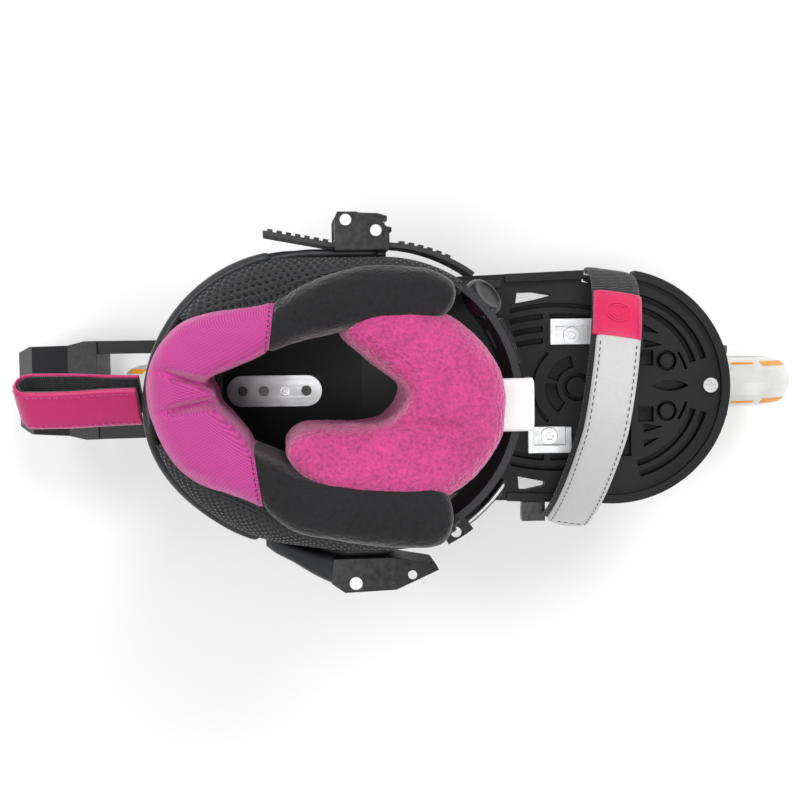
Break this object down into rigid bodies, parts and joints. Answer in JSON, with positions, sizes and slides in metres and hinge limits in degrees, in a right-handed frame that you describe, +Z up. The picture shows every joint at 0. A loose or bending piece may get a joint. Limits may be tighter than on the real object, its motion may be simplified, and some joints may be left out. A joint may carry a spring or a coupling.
{
  "type": "wear-over-shoe inline skate",
  "caption": "Inline skate worn over a shoe, with a padded ankle cuff, ratchet buckles, ribbed sole plate, toe strap, wheels in line and a heel brake.",
  "frame": {"origin": "on the ground under the middle of the skate's overall box", "axes": "+X points to the toe, +Y to the skate's left, the buckle side, and +Z up"},
  "size_m": [0.3954, 0.14, 0.2654],
  "materials": {
    "platform_plastic": "dark moulded plastic with a fine grain",
    "shell_plastic": "dark grey moulded shell",
    "frame_plastic": "glass-filled black plastic",
    "lining_foam": "black fabric over foam",
    "bed_rubber": "black rubber sheet",
    "brake_rubber": "worn black rubber",
    "plate_aluminium": "brushed",
    "bolt_steel": "zinc plated",
    "bearing_steel": "ground steel",
    "wheel_urethane": "milky urethane",
    "hub_plastic": "white moulded core",
    "mesh_fabric": "honeycomb spacer mesh",
    "fleece_fabric": "brushed black fleece",
    "knit_fabric": "fine ribbed pink knit",
    "plush_fabric": "short pink pile",
    "pink_leather": "smooth pink synthetic leather with stitching",
    "grey_leather": "light grey synthetic leather with stitching",
    "webbing_fabric": "black ribbed webbing",
    "white_plastic": "white moulded tab",
    "buckle_plastic": "black nylon",
    "strap_plastic": "black toothed nylon"
  },
  "bodies": {
    "skate_base": {"sole_plate": "platform_plastic", "heel_cup": "shell_plastic", "cup_lining": "lining_foam", "foot_bed": "bed_rubber", "heel_plate": "plate_aluminium", "heel_bolt": "bolt_steel", "left_bracket": "plate_aluminium", "right_bracket": "plate_aluminium", "bracket_bolts": "bolt_steel", "toe_screw": "bolt_steel", "frame_rails": "frame_plastic", "axle_bolts": "bolt_steel", "axle_screws": "bolt_steel", "bearing_inner_rings": "bearing_steel", "bearing_spacers": "bearing_steel", "brake_housing": "frame_plastic", "brake_pad": "brake_rubber", "brake_bolt": "bolt_steel", "strap_bar": "bolt_steel", "strap_keeper": "buckle_plastic", "ankle_pivots": "bolt_steel"},
    "wheel_1": {"tyre_1": "wheel_urethane", "hub_1": "hub_plastic", "bearings_1": "bearing_steel"},
    "wheel_2": {"tyre_2": "wheel_urethane", "hub_2": "hub_plastic", "bearings_2": "bearing_steel"},
    "wheel_3": {"tyre_3": "wheel_urethane", "hub_3": "hub_plastic", "bearings_3": "bearing_steel"},
    "wheel_4": {"tyre_4": "wheel_urethane", "hub_4": "hub_plastic", "bearings_4": "bearing_steel"},
    "cuff": {"cuff_shell": "shell_plastic", "mesh_panel": "mesh_fabric", "fleece_collar": "fleece_fabric", "heel_pad": "knit_fabric", "front_pad": "plush_fabric", "pull_loop": "pink_leather", "front_guard": "shell_plastic", "leaf_plate": "buckle_plastic", "strap_knob": "buckle_plastic", "front_tab": "white_plastic", "strap_anchor": "buckle_plastic", "anchor_screws": "bolt_steel", "ladder_strap": "strap_plastic", "buckle_base": "buckle_plastic", "buckle_pins": "bolt_steel", "instep_buckle_base": "buckle_plastic", "instep_pin": "bolt_steel"},
    "cuff_lever": {"buckle_lever": "buckle_plastic"},
    "cuff_pawl": {"ratchet_pawl": "buckle_plastic"},
    "instep_release": {"instep_lever": "buckle_plastic"},
    "toe_strap": {"toe_webbing": "webbing_fabric", "toe_leather": "grey_leather", "toe_patch": "pink_leather"}
  },
  "joints": [
    {"name": "wheel_1_spin", "type": "hinge", "parent": "skate_base", "child": "wheel_1", "pos_m": [0.1557, 0, 0.042], "axis": [0, 1, 0], "continuous": true},
    {"name": "wheel_2_spin", "type": "hinge", "parent": "skate_base", "child": "wheel_2", "pos_m": [0.0697, 0, 0.042], "axis": [0, 1, 0], "continuous": true},
    {"name": "wheel_3_spin", "type": "hinge", "parent": "skate_base", "child": "wheel_3", "pos_m": [-0.0163, 0, 0.042], "axis": [0, 1, 0], "continuous": true},
    {"name": "wheel_4_spin", "type": "hinge", "parent": "skate_base", "child": "wheel_4", "pos_m": [-0.1023, 0, 0.042], "axis": [0, 1, 0], "continuous": true},
    {"name": "cuff_flex", "type": "hinge", "parent": "skate_base", "child": "cuff", "pos_m": [-0.03, 0, 0.15], "axis": [0, 1, 0], "range_deg": [-5, 15]},
    {"name": "cuff_lever_open", "type": "hinge", "parent": "cuff", "child": "cuff_lever", "pos_m": [-0.02182, 0.0674, 0.22456], "axis": [0.0958, 0, 0.9954], "range_deg": [0, 95]},
    {"name": "pawl_release", "type": "hinge", "parent": "cuff", "child": "cuff_pawl", "pos_m": [-0.01087, 0.0635, 0.22351], "axis": [0.0958, 0, 0.9954], "range_deg": [0, 8], "stiffness_Nm_per_rad": 0.02},
    {"name": "instep_lever_open", "type": "hinge", "parent": "cuff", "child": "instep_release", "pos_m": [0.01821, -0.05196, 0.19157], "axis": [-0.0958, 0, -0.9954], "range_deg": [0, 80]},
    {"name": "toe_strap_open", "type": "hinge", "parent": "skate_base", "child": "toe_strap", "pos_m": [0.09628, 0.05142, 0.098], "axis": [-0.9888, 0.1495, 0], "range_deg": [0, 95]}
  ]
}
